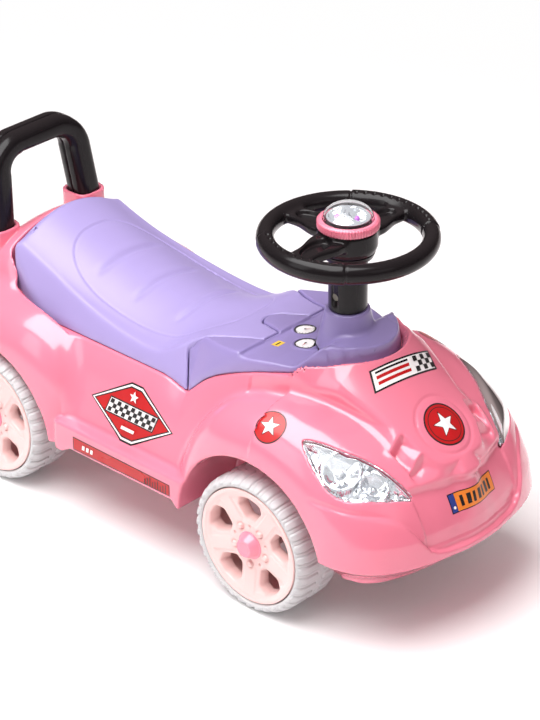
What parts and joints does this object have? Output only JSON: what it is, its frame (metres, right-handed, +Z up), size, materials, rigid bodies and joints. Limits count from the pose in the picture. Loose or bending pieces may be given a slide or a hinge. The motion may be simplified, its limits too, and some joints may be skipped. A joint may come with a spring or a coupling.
{
  "type": "kids push car",
  "caption": "Ride-on push car with a rounded body, lift-up seat over a storage tray, steered front wheels, a column-mounted steering wheel with a horn button, and a rear push handle.",
  "frame": {"origin": "on the ground under the middle of the overall box", "axes": "+Z up, +Y towards the rear and the push handle, +X towards the car's left side"},
  "size_m": [0.2836, 0.6526, 0.3921],
  "materials": {
    "pink_plastic": "gloss pink",
    "lilac_plastic": "satin lilac",
    "purple_plastic": "satin purple",
    "black_plastic": "gloss black",
    "grey_tyre": "matt light grey",
    "salmon_plastic": "satin salmon pink",
    "zinc_steel": "zinc plated",
    "bright_steel": "bright",
    "chrome_film": "mirror",
    "clear_plastic": "clear",
    "tray_plastic": "matt grey",
    "module_plastic": "matt dark grey"
  },
  "bodies": {
    "body": {"body_shell": "pink_plastic", "floor_pan": "pink_plastic", "storage_tray": "tray_plastic", "seat_hinge_pin": "bright_steel", "dash_panel": "purple_plastic", "push_handle_front": "black_plastic", "push_handle_rear": "black_plastic", "headlight_lens_left": "clear_plastic", "headlight_lens_right": "clear_plastic", "headlight_reflector_left": "chrome_film", "headlight_reflector_right": "chrome_film", "cross_member": "zinc_steel", "kingpin_left": "bright_steel", "kingpin_right": "bright_steel", "rear_axle": "bright_steel", "rear_bush_left": "black_plastic", "rear_bush_right": "black_plastic", "axle_washer_rear_left": "zinc_steel", "axle_washer_rear_right": "zinc_steel"},
    "seat": {"seat_lid": "lilac_plastic"},
    "steering": {"steering_wheel": "black_plastic", "wheel_under_cover": "black_plastic", "bezel_ring": "pink_plastic", "sound_module": "module_plastic", "horn_reflector": "chrome_film", "steering_column": "black_plastic", "column_screw": "bright_steel", "steering_rod": "bright_steel", "rod_collar": "zinc_steel"},
    "horn_button": {"horn_dome": "clear_plastic"},
    "tie_rod": {"tie_rod": "zinc_steel"},
    "knuckle_left": {"steering_knuckle_left": "zinc_steel", "stub_axle_left": "bright_steel", "axle_washer_front_left": "zinc_steel"},
    "knuckle_right": {"steering_knuckle_right": "zinc_steel", "stub_axle_right": "bright_steel", "axle_washer_front_right": "zinc_steel"},
    "wheel_front_left": {"tyre_front_left": "grey_tyre", "wheel_disc_front_left": "salmon_plastic", "hub_cap_front_left": "pink_plastic"},
    "wheel_front_right": {"tyre_front_right": "grey_tyre", "wheel_disc_front_right": "salmon_plastic", "hub_cap_front_right": "pink_plastic"},
    "wheel_rear_left": {"tyre_rear_left": "grey_tyre", "wheel_disc_rear_left": "salmon_plastic", "hub_cap_rear_left": "pink_plastic"},
    "wheel_rear_right": {"tyre_rear_right": "grey_tyre", "wheel_disc_rear_right": "salmon_plastic", "hub_cap_rear_right": "pink_plastic"}
  },
  "joints": [
    {"name": "steering_turn", "type": "hinge", "parent": "body", "child": "steering", "pos_m": [0, -0.15, 0.2], "axis": [0, 0, 1], "range_deg": [-30, 30]},
    {"name": "tie_rod_slide", "type": "slide", "parent": "body", "child": "tie_rod", "axis": [-1, 0, 0], "range_m": [-0.0106, 0.0106]},
    {"name": "horn_press", "type": "slide", "parent": "steering", "child": "horn_button", "axis": [0, 0, -1], "range_m": [0, 0.003], "stiffness_N_per_m": 400, "springref_m": -0.001},
    {"name": "seat_hinge", "type": "hinge", "parent": "body", "child": "seat", "pos_m": [0, 0.2395, 0.2535], "axis": [-1, 0, 0], "range_deg": [0, 65]},
    {"name": "knuckle_turn_left", "type": "hinge", "parent": "body", "child": "knuckle_left", "pos_m": [0.062, -0.144, 0.0725], "axis": [0, 0, 1], "range_deg": [-15.1, 15.1]},
    {"name": "knuckle_turn_right", "type": "hinge", "parent": "body", "child": "knuckle_right", "pos_m": [-0.062, -0.144, 0.0725], "axis": [0, 0, 1], "range_deg": [-15.1, 15.1]},
    {"name": "wheel_spin_front_left", "type": "hinge", "parent": "knuckle_left", "child": "wheel_front_left", "pos_m": [0.1085, -0.144, 0.0725], "axis": [1, 0, 0], "continuous": true},
    {"name": "wheel_spin_rear_left", "type": "hinge", "parent": "body", "child": "wheel_rear_left", "pos_m": [0.1085, 0.227, 0.0725], "axis": [1, 0, 0], "continuous": true},
    {"name": "wheel_spin_front_right", "type": "hinge", "parent": "knuckle_right", "child": "wheel_front_right", "pos_m": [-0.1085, -0.144, 0.0725], "axis": [1, 0, 0], "continuous": true},
    {"name": "wheel_spin_rear_right", "type": "hinge", "parent": "body", "child": "wheel_rear_right", "pos_m": [-0.1085, 0.227, 0.0725], "axis": [1, 0, 0], "continuous": true}
  ],
  "couplings": [
    {"joint": "tie_rod_slide", "follows": "steering_turn", "m_per_rad": 0.02},
    {"joint": "knuckle_turn_left", "follows": "steering_turn", "ratio": 0.5},
    {"joint": "knuckle_turn_right", "follows": "steering_turn", "ratio": 0.5}
  ]
}
